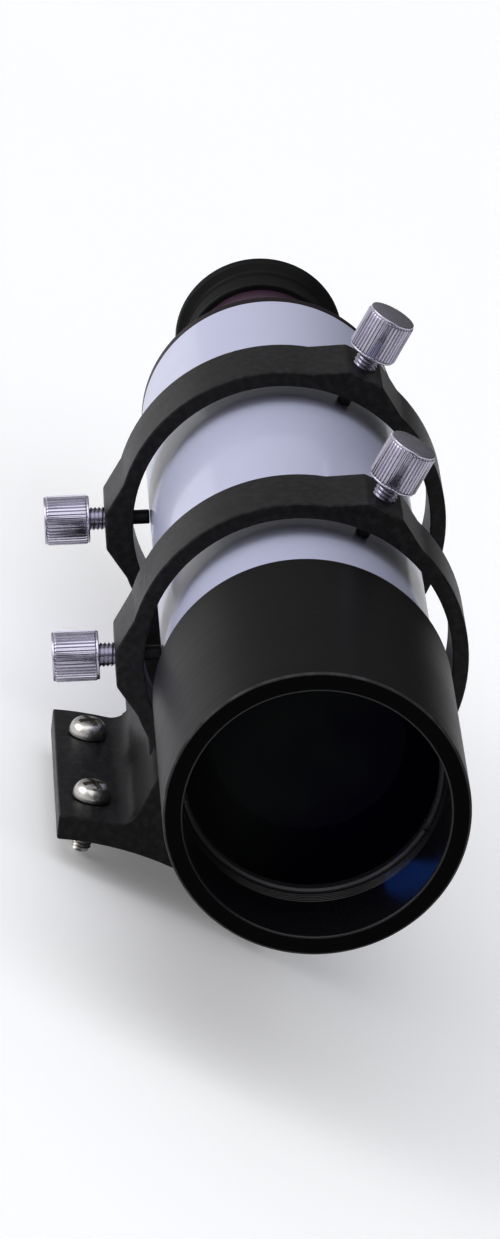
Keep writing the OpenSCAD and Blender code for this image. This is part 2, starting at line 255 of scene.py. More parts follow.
def times(tree, first, second):
    return maths(tree, "MULTIPLY", first, second)


def vector_scale(tree, vector, factor):
    made = add(tree, "ShaderNodeVectorMath", {"Vector": vector, "Scale": factor}, operation="SCALE")
    return made.outputs["Vector"]


def map_range(tree, value, low, high, start=0.0, end=1.0):
    inputs = {"Value": value, "From Min": low, "From Max": high, "To Min": start, "To Max": end}
    return add(tree, "ShaderNodeMapRange", inputs).outputs["Result"]


# ---- materials ----

def new_material(name, sockets):
    made = bpy.data.materials.new(name)
    made.use_nodes = True
    shader = made.node_tree.nodes["Principled BSDF"]
    for label, value in sockets.items():
        if shader.inputs[label].type == "RGBA":
            value = (*value, 1.0)
        shader.inputs[label].default_value = value
    return made, made.node_tree, shader


def noise(tree, size, detail=2.0, coordinates=None):
    """Noise whose lumps are about that size, over Object coordinates unless others are given."""
    if coordinates is None:
        coordinates = add(tree, "ShaderNodeTexCoord").outputs["Object"]
    inputs = {"Vector": coordinates, "Scale": 1.0 / size, "Detail": detail}
    return add(tree, "ShaderNodeTexNoise", inputs).outputs["Fac"]


def turning_coordinates(tree):
    """Coordinates that are the same all round the optical axis: radius and place along it."""
    place = add(tree, "ShaderNodeTexCoord").outputs["Object"]
    centred = add(tree, "ShaderNodeMapping", {"Vector": place, "Location": (0, 0, -AXIS_Z)}).outputs[0]
    parts = add(tree, "ShaderNodeSeparateXYZ", {0: centred}).outputs
    squares = [times(tree, parts[axis], parts[axis]) for axis in ("X", "Z")]
    radius = maths(tree, "SQRT", plus(tree, *squares))
    return add(tree, "ShaderNodeCombineXYZ", {"X": radius, "Y": parts["Y"]}).outputs[0]


def blend_colours(tree, factor, first, second):
    made = add(tree, "ShaderNodeMix", {"Factor": factor}, data_type="RGBA")
    for socket, colour in ((made.inputs[6], first), (made.inputs[7], second)):
        if isinstance(colour, bpy.types.NodeSocket):
            tree.links.new(colour, socket)
        else:
            socket.default_value = (*colour, 1.0)
    return made.outputs[2]


def bump(tree, shader, height, depth, strength=1.0):
    inputs = {"Height": height, "Distance": depth, "Strength": strength}
    made = add(tree, "ShaderNodeBump", inputs)
    if shader.inputs["Normal"].is_linked:
        tree.links.new(shader.inputs["Normal"].links[0].from_socket, made.inputs["Normal"])
    tree.links.new(made.outputs["Normal"], shader.inputs["Normal"])


def edge_mark(tree):
    """1 on the rounded edges that soften_edges() marked, and 0 on flat faces."""
    return add(tree, "ShaderNodeAttribute", attribute_name="edge").outputs["Fac"]


def lighter_edges(tree, patch, least):
    """Where the rounded edges lighten: at least that much, and up to 1 in patches. This stands for wear, and on
    the cell and the eyecup also for a painted highlight.
    """
    patches = map_range(tree, noise(tree, patch, 3.0), 0.42, 0.66, least)
    return times(tree, edge_mark(tree), patches)


def feed(tree, shader, **inputs):
    """Links outputs to the shader's inputs, whose names are written with _ for a space."""
    for label, output in inputs.items():
        tree.links.new(output, shader.inputs[label.replace("_", " ")])


def paint_casting(finish, grain):
    made, tree, shader = new_material("satin_black_casting", {"Specular IOR Level": 0.12})
    mottle = noise(tree, 12 * MM, 2.0)
    body = blend_colours(tree, mottle, finish.casting, [1.1 * c for c in finish.casting])
    edge_blend = times(tree, lighter_edges(tree, 1.6 * MM, 0.15), finish.wear)
    feed(tree, shader, Base_Color=blend_colours(tree, edge_blend, body, (0.045, 0.043, 0.045)))
    fine = noise(tree, grain, 2.0)
    feed(tree, shader, Roughness=plus(
        tree, map_range(tree, mottle, 0.3, 0.7, 0.34, 0.38), map_range(tree, fine, 0.3, 0.7, -0.03, 0.04)))
    bump(tree, shader, fine, 0.010 * MM, 0.5)
    return made


def paint_turned(name, colour, roughness, finish, sockets=None, rubbed_and_lit_edge=(0.050, 0.045, 0.048)):
    """A dark anodised finish with fine turning lines, lighter along its edges: edge wear, and where a bright edge
    colour is given, a painted highlight.
    """
    made, tree, shader = new_material(name, {"Specular IOR Level": 0.07, **(sockets or {})})
    ring = turning_coordinates(tree)
    mottle = noise(tree, 18 * MM, 2.0)
    body = blend_colours(tree, mottle, colour, [1.15 * c for c in colour])
    # Lighter edges: wear, and with the cell's bright edge colour also a painted highlight
    edge_blend = times(tree, lighter_edges(tree, 3 * MM, 0.5), finish.wear)
    cut = noise(tree, 0.35 * MM, 1.0, ring)
    rough = map_range(tree, cut, 0.25, 0.75, roughness - 0.04, roughness + 0.05)
    feed(tree, shader, Base_Color=blend_colours(tree, edge_blend, body, rubbed_and_lit_edge),
         Roughness=minus(tree, rough, times(tree, edge_mark(tree), 0.1)))
    bump(tree, shader, cut, 0.005 * MM, 0.5)
    bump(tree, shader, noise(tree, 0.25 * MM, 2.0), 0.006 * MM, 0.4)
    return made


def paint_bore(finish):
    made, tree, shader = new_material("bore_black", {"Specular IOR Level": 0.4})
    fine = noise(tree, 0.4 * MM, 2.0)
    feed(tree, shader, Base_Color=blend_colours(tree, fine, finish.bore, [1.3 * c for c in finish.bore]),
         Roughness=map_range(tree, fine, 0.3, 0.7, 0.26, 0.34))
    bump(tree, shader, fine, 0.008 * MM, 0.4)
    return made


def paint_tube(finish):
    made, tree, shader = new_material(
        "gloss_white_paint", {"Coat Weight": 0.35, "Coat Roughness": 0.08, "Specular IOR Level": 0.4})
    cloud = noise(tree, 30 * MM, 2.0)
    lighter = [min(1.0, 1.04 * c) for c in finish.tube]
    feed(tree, shader, Base_Color=blend_colours(tree, cloud, finish.tube, lighter),
         Roughness=map_range(tree, noise(tree, 8 * MM, 2.0), 0.3, 0.7, 0.30, 0.36))
    bump(tree, shader, noise(tree, 5 * MM, 1.0), 0.01 * MM, 0.4)
    return made


def paint_plate(name, colour, roughness, grain):
    """Bright metal with a fine grain and a few dull patches."""
    made, tree, shader = new_material(name, {"Metallic": 1.0})
    fine = noise(tree, grain, 3.0)
    patch = noise(tree, 2.5 * MM, 3.0)
    rough = map_range(tree, fine, 0.3, 0.7, roughness - 0.05, roughness + 0.05)
    feed(tree, shader, Base_Color=blend_colours(tree, patch, [0.80 * c for c in colour], colour),
         Roughness=plus(tree, rough, map_range(tree, patch, 0.4, 0.7, 0.0, 0.10)))
    bump(tree, shader, fine, 0.006 * MM, 0.5)
    return made


def paint_plastic(name, colour, roughness, grain, sockets=None):
    made, tree, shader = new_material(name, {"Specular IOR Level": 0.25, **(sockets or {})})
    fine = noise(tree, grain, 3.0)
    darker, lighter = [0.8 * c for c in colour], [1.3 * c for c in colour]
    feed(tree, shader, Base_Color=blend_colours(tree, fine, darker, lighter),
         Roughness=map_range(tree, fine, 0.3, 0.7, roughness - 0.06, roughness + 0.06))
    bump(tree, shader, fine, 0.02 * MM, 0.6)
    return made


def paint_rubber(finish):
    made, tree, shader = new_material("moulded_rubber", {"Specular IOR Level": 0.12})
    fine = noise(tree, 0.3 * MM, 3.0)
    dust = noise(tree, 6 * MM, 3.0)
    dusty = [1.6 * c for c in finish.rubber]
    body = blend_colours(tree, map_range(tree, dust, 0.4, 0.8), finish.rubber, dusty)
    # Lighter rounded edges: partly wear, partly a painted highlight on the lit lip of the cup
    rubbed_and_lit_edge = times(tree, lighter_edges(tree, 3 * MM, 0.3), 0.4)
    feed(tree, shader, Base_Color=blend_colours(tree, rubbed_and_lit_edge, body, (0.022, 0.023, 0.022)),
         Roughness=map_range(tree, dust, 0.3, 0.7, 0.45, 0.56))
    bump(tree, shader, fine, 0.02 * MM, 0.4)
    return made


def paint_glass(name, coating, left_reflection, right_reflection, gloss):
    """Coated glass over a dark tube: a faint reflection, over a painted reflection whose colour drifts from one
    side into the other.
    """
    made, tree, shader = new_material(name, {"IOR": 1.09, "Specular Tint": coating})
    place = add(tree, "ShaderNodeTexCoord").outputs["Object"]
    across = add(tree, "ShaderNodeSeparateXYZ", {0: place}).outputs["X"]
    drift = times(tree, noise(tree, 14 * MM, 1.0), 30 * MM)
    side = map_range(tree, plus(tree, across, drift), 4 * MM, 26 * MM)
    # Painted reflection: the colour changes across the lens from one side to the other
    feed(tree, shader, Base_Color=blend_colours(tree, side, left_reflection, right_reflection),
         Roughness=map_range(tree, noise(tree, 6 * MM, 2.0), 0.3, 0.7, gloss, 1.5 * gloss))
    return made


def paint_floor(finish):
    made, tree, shader = new_material("pale_floor", {
        "Roughness": 0.75, "Specular IOR Level": 0.2,
        "Emission Color": finish.floor, "Emission Strength": 0.18})
    cloud = noise(tree, 120 * MM, 2.0)
    darker = [0.985 * c for c in finish.floor]
    feed(tree, shader, Base_Color=blend_colours(tree, cloud, finish.floor, darker))
    bump(tree, shader, noise(tree, 1.5 * MM, 2.0), 0.02 * MM, 0.3)
    return made


# ---- mesh helpers ----

def link(name, mesh, *materials):
    made = bpy.data.objects.new(name, mesh)
    bpy.context.scene.collection.objects.link(made)
    for finish in materials:
        mesh.materials.append(finish)
    return made


def mesh_of(name, bm):
    """The mesh of that bmesh, which is freed."""
    mesh = bpy.data.meshes.new(name)
    bm.to_mesh(mesh)
    bm.free()
    return mesh


def apply_modifiers(piece):
    plain = bpy.data.meshes.new_from_object(
        piece.evaluated_get(bpy.context.evaluated_depsgraph_get()))
    piece.modifiers.clear()
    piece.data = plain


def hand_over(piece, body, slot, *nodes):
    """The finished piece stands for those nodes and moves with their body."""
    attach(piece, body)
    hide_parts(*nodes)


def soften_edges(mesh):
    """Smooth shading, with the rounded edges marked in the attribute that lighter_edges() reads."""
    bm = bmesh.new()
    bm.from_mesh(mesh)
    layer = bm.verts.layers.float.new("edge")
    flat, bent = math.radians(7), math.radians(20)
    for vert in bm.verts:
        turn = max((e.calc_face_angle(0.0) for e in vert.link_edges if e.is_manifold), default=0.0)
        vert[layer] = min(1.0, max(0.0, (turn - flat) / (bent - flat)))
    bm.to_mesh(mesh)
    bm.free()
    mesh.shade_smooth()
    mesh.set_sharp_from_angle(angle=SMOOTH_ANGLE)


def rounded(corners, steps=4, hold=0.12 * MM):
    """The points of a closed outline whose corners (x, y, rounding) are turned into arcs.

    A point on each side, hold away from the arc, keeps the shading of the flats flat."""
    points = []
    for i, (x, y, bend) in enumerate(corners):
        here = Vector((x, y))
        before = Vector(corners[i - 1][:2]) - here
        after = Vector(corners[(i + 1) % len(corners)][:2]) - here
        if bend <= 0 or before.length * after.length == 0:
            points.append(here)
            continue
        half = before.angle(after) / 2
        reach = min(bend / math.tan(half), 0.45 * before.length, 0.45 * after.length)
        bend = reach * math.tan(half)
        before.normalize()
        after.normalize()
        centre = here + (before + after).normalized() * (bend / math.sin(half))
        start = (here + before * reach - centre).normalized()
        end = (here + after * reach - centre).normalized()
        points.append(here + before * (reach + hold))
        points += [centre + bend * start.slerp(end, k / steps) for k in range(steps + 1)]
        points.append(here + after * (reach + hold))
    return points


def turned(name, outline, *materials, sides=SIDES):
    """An object whose mesh is the closed outline of (radius, y) points, turned about the axis."""
    bm = bmesh.new()
    angles = [2 * math.pi * k / sides for k in range(sides)]
    rings = []
    for radius, y in outline:
        around = angles if radius > 1e-6 else [0.0]
        rings.append([
            bm.verts.new((radius * math.sin(a), y, AXIS_Z + radius * math.cos(a))) for a in around])
    for one, two in zip(rings, rings[1:] + rings[:1]):
        if len(one) + len(two) == 2:
            continue
        for k in range(sides):
            n = (k + 1) % sides
            corners = [one[k % len(one)], one[n % len(one)], two[n % len(two)], two[k % len(two)]]
            bm.faces.new(list(dict.fromkeys(corners)))
    bmesh.ops.recalc_face_normals(bm, faces=bm.faces)
    mesh = mesh_of(name, bm)
    soften_edges(mesh)
    return link(name, mesh, *materials)


def cap(radius, edge, y, steps=14):
    """Points of a spherical face from the axis to its edge; a negative radius bulges backwards."""
    sign = math.copysign(1, radius)
    points = []
    for k in range(steps + 1):
        x = edge * k / steps
        points.append((x, y + sign * (abs(radius) - math.sqrt(radius * radius - x * x))))
    return points


def is_near(edge, origin, direction, reach):
    """Whether both ends of the edge are within reach of the line from origin."""
    for vert in edge.verts:
        offset = vert.co - origin
        along = offset.dot(direction)
        if along < 0 or (offset - along * direction).length > reach:
            return False
    return True


def assign_faces(piece, index, inside):
    """Gives the material of that index to the faces whose centre passes the test."""
    for face in piece.data.polygons:
        centre = face.center
        if inside(math.hypot(centre.x, centre.z - AXIS_Z), centre.y):
            face.material_index = index


# ---- Geometry Nodes ----

FLOAT, COUNT = "NodeSocketFloat", "NodeSocketInt"


def new_tree(name, sockets):
    """A tree with Geometry in and out, and named inputs; returns it with its input node's outputs."""
    tree = bpy.data.node_groups.new(name, "GeometryNodeTree")
    tree.interface.new_socket("Geometry", in_out="INPUT", socket_type="NodeSocketGeometry")
    for label, kind in sockets:
        tree.interface.new_socket(label, in_out="INPUT", socket_type=kind)
    tree.interface.new_socket("Geometry", in_out="OUTPUT", socket_type="NodeSocketGeometry")
    return tree, tree.nodes.new("NodeGroupInput").outputs


def close_tree(tree, geometry):
    add(tree, "NodeGroupOutput", {0: geometry})
    return tree


def join(tree, *parts):
    made = tree.nodes.new("GeometryNodeJoinGeometry")
    for part in parts:
        tree.links.new(part, made.inputs[0])
    return made.outputs[0]


def use_group(tree, group, inputs):
    made = tree.nodes.new("GeometryNodeGroup")
    made.node_tree = group
    for label, value in inputs.items():
        if isinstance(value, bpy.types.NodeSocket):
            tree.links.new(value, made.inputs[label])
        else:
            made.inputs[label].default_value = value
    return made.outputs[0]


def unit_circle(tree, count):
    return add(tree, "GeometryNodeCurvePrimitiveCircle", {
        "Resolution": count, "Radius": 1.0}, mode="RADIUS").outputs[0]


def upward(tree, height):
    return add(tree, "ShaderNodeCombineXYZ", {"Z": height}).outputs[0]


def loose_path(tree, count):
    """A curve of that many points, still to be placed, and the index of each."""
    line = add(tree, "GeometryNodeMeshLine", {"Count": count}, mode="OFFSET").outputs[0]
    path = add(tree, "GeometryNodeMeshToCurve", {"Mesh": line}).outputs[0]
    return path, add(tree, "GeometryNodeInputIndex").outputs[0]


def rod_tree():
    """A rod along Z, from Start to End, with rounded ends. Its section is a curve of radius 1."""
    tree, given = new_tree("Rounded rod", [
        ("Radius", FLOAT), ("Start", FLOAT), ("End", FLOAT), ("Rounding", FLOAT)])
    count = 8
    path, index = loose_path(tree, count)
    step = maths(tree, "MINIMUM", index, minus(tree, count - 1.0, index))
    angle = times(tree, step, math.pi / (count - 2))
    rise = times(tree, given["Rounding"],
                 minus(tree, 1.0, maths(tree, "COSINE", angle)))
    inset = times(tree, given["Rounding"],
                  minus(tree, 1.0, maths(tree, "SINE", angle)))
    upper = maths(tree, "GREATER_THAN", index, count / 2 - 0.5)
    low_z = plus(tree, given["Start"], rise)
    high_z = minus(tree, given["End"], rise)
    lift = times(tree, upper, minus(tree, high_z, low_z))
    path = add(tree, "GeometryNodeSetPosition", {
        "Geometry": path, "Position": upward(tree, plus(tree, low_z, lift))}).outputs[0]
    rod = add(tree, "GeometryNodeCurveToMesh", {
        "Curve": path, "Profile Curve": given["Geometry"],
        "Scale": minus(tree, given["Radius"], inset), "Fill Caps": True}).outputs[0]
    return close_tree(tree, rod)


def thread_tree():
    """A V thread of that outside radius and pitch along Z, on a core rod."""
    tree, given = new_tree("Screw thread", [
        ("Radius", FLOAT), ("Start", FLOAT), ("End", FLOAT), ("Pitch", FLOAT)])
    depth = times(tree, given["Pitch"], 0.54)
    core = minus(tree, given["Radius"], depth)
    span = minus(tree, given["End"], given["Start"])
    run = minus(tree, span, given["Pitch"])
    helix = add(tree, "GeometryNodeCurveSpiral", {
        "Resolution": 28, "Rotations": maths(tree, "DIVIDE", run, given["Pitch"]),
        "Start Radius": core, "End Radius": core, "Height": run}).outputs[0]
    helix = add(tree, "GeometryNodeSetCurveNormal", {"Curve": helix}, mode="Z_UP").outputs[0]
    section = add(tree, "GeometryNodeCurvePrimitiveCircle", {
        "Resolution": 4, "Radius": depth}, mode="RADIUS").outputs[0]
    ridge = add(tree, "GeometryNodeCurveToMesh", {
        "Curve": helix, "Profile Curve": section, "Fill Caps": True}).outputs[0]
    half = times(tree, given["Pitch"], 0.5)
    base = upward(tree, plus(tree, given["Start"], half))
    ridge = add(tree, "GeometryNodeTransform", {"Geometry": ridge, "Translation": base}).outputs[0]
    rod = use_group(tree, bpy.data.node_groups["Rounded rod"], {
        "Geometry": unit_circle(tree, 40), "Radius": plus(tree, core, times(tree, depth, 0.1)),
        "Start": given["Start"], "End": given["End"], "Rounding": times(tree, depth, 0.8)})
    return close_tree(tree, join(tree, ridge, rod))


def ridged_circle(tree, ridges, depth):
    """A circle of radius 1 with that many flat-topped ridges."""
    corners = 4                                 # of a ridge and its groove
    circle = unit_circle(tree, times(tree, ridges, float(corners)))
    index = add(tree, "GeometryNodeInputIndex").outputs[0]
    groove = maths(tree, "GREATER_THAN", maths(tree, "MODULO", index, float(corners)), 1.5)
    factor = minus(tree, 1.0, times(tree, groove, depth))
    place = add(tree, "GeometryNodeInputPosition").outputs[0]
    moved = add(tree, "GeometryNodeSetPosition", {
        "Geometry": circle, "Position": vector_scale(tree, place, factor)})
    return moved.outputs[0]


def placed(tree, seeds, part, material):
    """The part at each seed, turned as the seed's attribute says."""
    turn = add(tree, "GeometryNodeInputNamedAttribute", {"Name": "turn"}, data_type="FLOAT_VECTOR")
    rotation = add(tree, "FunctionNodeEulerToRotation", {0: turn.outputs[0]}).outputs[0]
    copies = add(tree, "GeometryNodeInstanceOnPoints", {
        "Points": seeds, "Instance": part, "Rotation": rotation}).outputs[0]
    real = add(tree, "GeometryNodeRealizeInstances", {"Geometry": copies}).outputs[0]
    return add(tree, "GeometryNodeSetMaterial", {"Geometry": real, "Material": material}).outputs[0]


def thumbscrew_tree():
    """A knurled head between two plain rims, on a threaded shank, along local Z."""
    tree, given = new_tree("Thumbscrew", [
        ("Head Radius", FLOAT), ("Head Start", FLOAT), ("Head End", FLOAT), ("Rim", FLOAT),
        ("Ridges", COUNT), ("Ridge Depth", FLOAT), ("Shank Radius", FLOAT), ("Shank Start", FLOAT),
        ("Pitch", FLOAT), ("Material", "NodeSocketMaterial")])
    rod = bpy.data.node_groups["Rounded rod"]
    smooth = unit_circle(tree, 96)
    ratio = maths(tree, "DIVIDE", given["Ridge Depth"], given["Head Radius"])
    belt_start = plus(tree, given["Head Start"], given["Rim"])
    belt_end = minus(tree, given["Head End"], given["Rim"])
    overlap = times(tree, given["Rim"], 0.3)
    rim_round = times(tree, given["Rim"], 0.4)
    rim_radius = minus(tree, given["Head Radius"], times(tree, given["Ridge Depth"], 0.6))
    belt = use_group(tree, rod, {
        "Geometry": ridged_circle(tree, given["Ridges"], ratio), "Radius": given["Head Radius"],
        "Start": belt_start, "End": belt_end, "Rounding": given["Ridge Depth"]})
    lower = use_group(tree, rod, {
        "Geometry": smooth, "Radius": rim_radius, "Start": given["Head Start"],
        "End": plus(tree, belt_start, overlap), "Rounding": rim_round})
    upper = use_group(tree, rod, {
        "Geometry": smooth, "Radius": rim_radius, "End": given["Head End"],
        "Start": minus(tree, belt_end, overlap), "Rounding": rim_round})
    shank = use_group(tree, bpy.data.node_groups["Screw thread"], {
        "Radius": given["Shank Radius"], "Start": given["Shank Start"],
        "End": belt_start, "Pitch": given["Pitch"]})
    screw = join(tree, belt, lower, upper, shank)
    return close_tree(tree, placed(tree, given["Geometry"], screw, given["Material"]))


def soft_tip_tree():
    """A short rounded plug along local Z."""
    tree, given = new_tree("Soft tip", [
        ("Radius", FLOAT), ("Spigot Radius", FLOAT), ("Start", FLOAT), ("Shoulder", FLOAT),
        ("End", FLOAT), ("Material", "NodeSocketMaterial")])
    rod = bpy.data.node_groups["Rounded rod"]
    circle = unit_circle(tree, 48)
    plug = use_group(tree, rod, {
        "Geometry": circle, "Radius": given["Radius"], "Start": given["Start"],
        "End": given["Shoulder"], "Rounding": 0.3 * MM})
    spigot = use_group(tree, rod, {
        "Geometry": circle, "Radius": given["Spigot Radius"], "Start": given["Shoulder"],
        "End": given["End"], "Rounding": 0.1 * MM})
    tip = join(tree, plug, spigot)
    return close_tree(tree, placed(tree, given["Geometry"], tip, given["Material"]))


def pan_screw_tree():
    """A cross-recessed pan head that sits at local Z 0, with its shank below."""
    tree, given = new_tree("Pan head screw", [
        ("Head Radius", FLOAT), ("Head Height", FLOAT), ("Recess Width", FLOAT),
        ("Recess Span", FLOAT), ("Recess Turn", FLOAT), ("Grip Radius", FLOAT),
        ("Grip Length", FLOAT), ("Thread Radius", FLOAT), ("Length", FLOAT),
        ("Pitch", FLOAT), ("Material", "NodeSocketMaterial")])
    count = 12
    path, index = loose_path(tree, count)
    angle = times(tree, index, math.radians(86) / (count - 1))
    height = times(tree, given["Head Height"], maths(tree, "SINE", angle))
    belly = maths(tree, "POWER", maths(tree, "COSINE", angle), 0.5)
    path = add(tree, "GeometryNodeSetPosition", {
        "Geometry": path, "Position": upward(tree, height)}).outputs[0]
    circle = unit_circle(tree, 64)
    dome = add(tree, "GeometryNodeCurveToMesh", {
        "Curve": path, "Profile Curve": circle,
        "Scale": times(tree, given["Head Radius"], belly), "Fill Caps": True}).outputs[0]
    size = add(tree, "ShaderNodeCombineXYZ", {
        "X": given["Recess Span"], "Y": given["Recess Width"], "Z": given["Head Height"]}).outputs[0]
    arm = add(tree, "GeometryNodeMeshCube", {"Size": size}).outputs[0]
    arm = add(tree, "GeometryNodeTransform", {
        "Geometry": arm, "Translation": upward(tree, given["Head Height"])}).outputs[0]
    other = add(tree, "GeometryNodeTransform", {
        "Geometry": arm, "Rotation": (0, 0, math.pi / 2)}).outputs[0]
    cross = add(tree, "GeometryNodeTransform", {
        "Geometry": join(tree, arm, other), "Rotation": upward(tree, given["Recess Turn"])}).outputs[0]
    head = add(tree, "GeometryNodeMeshBoolean", {
        "Mesh 1": dome, "Mesh 2": cross, "Self Intersection": True},
        operation="DIFFERENCE", solver="EXACT").outputs[0]
    rod = bpy.data.node_groups["Rounded rod"]
    grip_end = times(tree, given["Grip Length"], -1.0)
    grip = use_group(tree, rod, {
        "Geometry": circle, "Radius": given["Grip Radius"], "Start": grip_end,
        "End": 0.3 * MM, "Rounding": 0.05 * MM})
    thread = use_group(tree, bpy.data.node_groups["Screw thread"], {
        "Radius": given["Thread Radius"], "Start": times(tree, given["Length"], -1.0),
        "End": grip_end, "Pitch": given["Pitch"]})
    screw = join(tree, head, grip, thread)
    return close_tree(tree, placed(tree, given["Geometry"], screw, given["Material"]))


def grow(name, tree, places, inputs):
    """A plain mesh object: what the tree makes at each (origin, direction of its local Z)."""
    seeds = bpy.data.meshes.new(name + "_seeds")
    seeds.from_pydata([origin for origin, _ in places], [], [])
    turn = seeds.attributes.new("turn", "FLOAT_VECTOR", "POINT")
    for item, (_, outward) in zip(turn.data, places):
        item.vector = outward.to_track_quat("Z", "Y").to_euler()
    start = link(name + "_seeds", seeds)
    modifier = start.modifiers.new("Nodes", "NODES")
    modifier.node_group = tree
    for item in tree.interface.items_tree:
        if item.in_out == "INPUT" and item.name in inputs:
            modifier[item.identifier] = inputs[item.name]
    grown = start.evaluated_get(bpy.context.evaluated_depsgraph_get())
    mesh = bpy.data.meshes.new_from_object(grown)
    mesh.name = name
    bpy.data.objects.remove(start)
    bpy.data.meshes.remove(seeds)
    bm = bmesh.new()
    bm.from_mesh(mesh)
    bmesh.ops.recalc_face_normals(bm, faces=bm.faces)
    bm.to_mesh(mesh)
    bm.free()
    soften_edges(mesh)
    return link(name, mesh)


# ---- places taken from the frame ----

def screw_axis(name):
    """The point on the optical axis and the outward direction of a thumbscrew."""
    joint = next(j for j in frame["joints"] if j["name"] == f"{name}_turn")
    outward = Vector(joint["axis"]).normalized()
    return Vector((0, joint["pos_m"][1], AXIS_Z)), outward


def foot_screw_seats(grip_length, screw_length):
    """The seat and the outward direction of each foot screw's head."""
    seats = []
    for mount in frame["record"]["mounts"]:
        if mount["name"].startswith("foot_screw"):
            outward = -Vector(mount["axis"]).normalized()
            middle = (grip_length + screw_length) / 2
            seats.append((Vector(mount["pos_m"]) + outward * middle, outward))
    return seats


# ---- operators ----

class FINDER_OT_bracket(bpy.types.Operator):
    """Rounds the edges of the cast bracket and paints it"""

    bl_idname = "finder.bracket"
    bl_label = "Bracket"

    def execute(self, context):
        sizes = context.scene.finder_bracket
        bm = bmesh.new()
        bm.from_mesh(frame["nodes"]["bracket"].data)
        bmesh.ops.remove_doubles(bm, verts=bm.verts, dist=0.001 * MM)
        bmesh.ops.dissolve_limit(
            bm, angle_limit=math.radians(0.8), verts=bm.verts, edges=bm.edges)
        # The edges of the screw holes stay as they are
        hole_reach, seat_reach, sharp_angle = 3.2 * MM, 5.2 * MM, math.radians(22)
        drilled = [(*screw_axis(name), hole_reach) for name in SCREW_NAMES]
        drilled += [(*seat, seat_reach) for seat in foot_screw_seats(0.0, 0.0)]
        sharp = [
            e for e in bm.edges if e.is_manifold and e.calc_face_angle(0.0) > sharp_angle
            and not any(is_near(e, *hole) for hole in drilled)]
        bmesh.ops.bevel(
            bm, geom=sharp, offset=sizes.casting_round, offset_type="OFFSET", segments=3,
            profile=0.5, affect="EDGES", clamp_overlap=False)
        bmesh.ops.remove_doubles(bm, verts=bm.verts, dist=0.004 * MM)
        bmesh.ops.recalc_face_normals(bm, faces=bm.faces)
        mesh = mesh_of("casting", bm)
        soften_edges(mesh)
        piece = link("casting", mesh, paint_casting(context.scene.finder_finish, sizes.grain))
        weighted = piece.modifiers.new("Flat faces", "WEIGHTED_NORMAL")
        weighted.keep_sharp = True
        apply_modifiers(piece)
        hand_over(piece, "bracket", "bracket_paint", "bracket")
        return {"FINISHED"}


class FINDER_OT_foot_screws(bpy.types.Operator):
    """Adds the four pan head screws of the foot"""

    bl_idname = "finder.foot_screws"
    bl_label = "Foot Screws"

    def execute(self, context):
        sizes = context.scene.finder_screws
        pin = next(m for m in frame["record"]["mounts"] if m["name"] == "foot_screw_left_front")
        grip_length = sizes.foot_length - pin["dims"]["length_mm"] * MM
        metal = paint_plate("screw_steel", context.scene.finder_finish.steel, 0.26, 0.2 * MM)
        piece = grow("foot_screw_set", bpy.data.node_groups["Pan head screw"],
                     foot_screw_seats(grip_length, sizes.foot_length), {
            "Head Radius": sizes.pan_d / 2, "Head Height": sizes.pan_height,
            "Recess Width": sizes.recess_width, "Recess Span": sizes.recess_span,
            "Recess Turn": sizes.recess_turn,
            "Grip Radius": sizes.foot_grip_d / 2, "Grip Length": grip_length,
            "Thread Radius": sizes.foot_d / 2, "Length": sizes.foot_length,
            "Pitch": sizes.foot_pitch, "Material": metal})
        hand_over(piece, "bracket", "screw_steel", "foot_screws")
        return {"FINISHED"}


class FINDER_OT_thumbscrews(bpy.types.Operator):
    """Adds the six knurled thumbscrews"""

    bl_idname = "finder.thumbscrews"
    bl_label = "Thumbscrews"

    def execute(self, context):
        sizes = context.scene.finder_screws
        low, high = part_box("thumbscrew_front_top")
        metal = paint_plate("nickel_plate", context.scene.finder_finish.nickel, 0.20, 0.15 * MM)
        head_end = high.z - AXIS_Z
        tree = bpy.data.node_groups["Thumbscrew"]
        for name in SCREW_NAMES:
            piece = grow(f"knurled_screw_{name}", tree, [screw_axis(name)], {
                "Head Radius": (high.x - low.x) / 2, "Head Start": head_end - sizes.head_length,
                "Head End": head_end, "Rim": sizes.rim, "Ridges": sizes.ridges,
                "Ridge Depth": sizes.ridge_depth, "Shank Radius": sizes.shank_d / 2,
                "Shank Start": low.z - AXIS_Z, "Pitch": sizes.pitch, "Material": metal})
            hand_over(piece, f"screw_{name}", "bright_plate", f"thumbscrew_{name}")
        return {"FINISHED"}


class FINDER_OT_soft_tips(bpy.types.Operator):
    """Adds the soft tips that press on the tube"""

    bl_idname = "finder.soft_tips"
    bl_label = "Soft Tips"

    def execute(self, context):
        sizes = context.scene.finder_screws
        low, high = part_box("tip_front_top")
        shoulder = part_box("thumbscrew_front_top")[0].z - AXIS_Z - GAP
        plastic = paint_plastic("tip_plastic", context.scene.finder_finish.tip, 0.45, 0.3 * MM)
        tree = bpy.data.node_groups["Soft tip"]
        for name in SCREW_NAMES:
            piece = grow(f"soft_tip_{name}", tree, [screw_axis(name)], {
                "Radius": (high.x - low.x) / 2, "Spigot Radius": sizes.spigot_d / 2,
                "Start": low.z - AXIS_Z, "Shoulder": shoulder, "End": high.z - AXIS_Z,
                "Material": plastic})
            hand_over(piece, f"tip_{name}", "tip_nylon", f"tip_{name}")
        return {"FINISHED"}


class FINDER_OT_main_tube(bpy.types.Operator):
    """Turns the white main tube"""

    bl_idname = "finder.main_tube"
    bl_label = "Main Tube"

    def execute(self, context):
        sizes = context.scene.finder_tube
        wall = sizes.fine_round
        inner = radius_of("rear_adapter") - TUBE_WALL
        outline = rounded([
            (inner, TUBE_LOW.y, wall), (TUBE_R, TUBE_LOW.y, wall),
            (TUBE_R, TUBE_HIGH.y, wall), (inner, TUBE_HIGH.y, wall)])
        piece = turned("white_tube", outline, paint_tube(context.scene.finder_finish))
        hand_over(piece, "tube", "tube_paint", "main_tube")
        return {"FINISHED"}


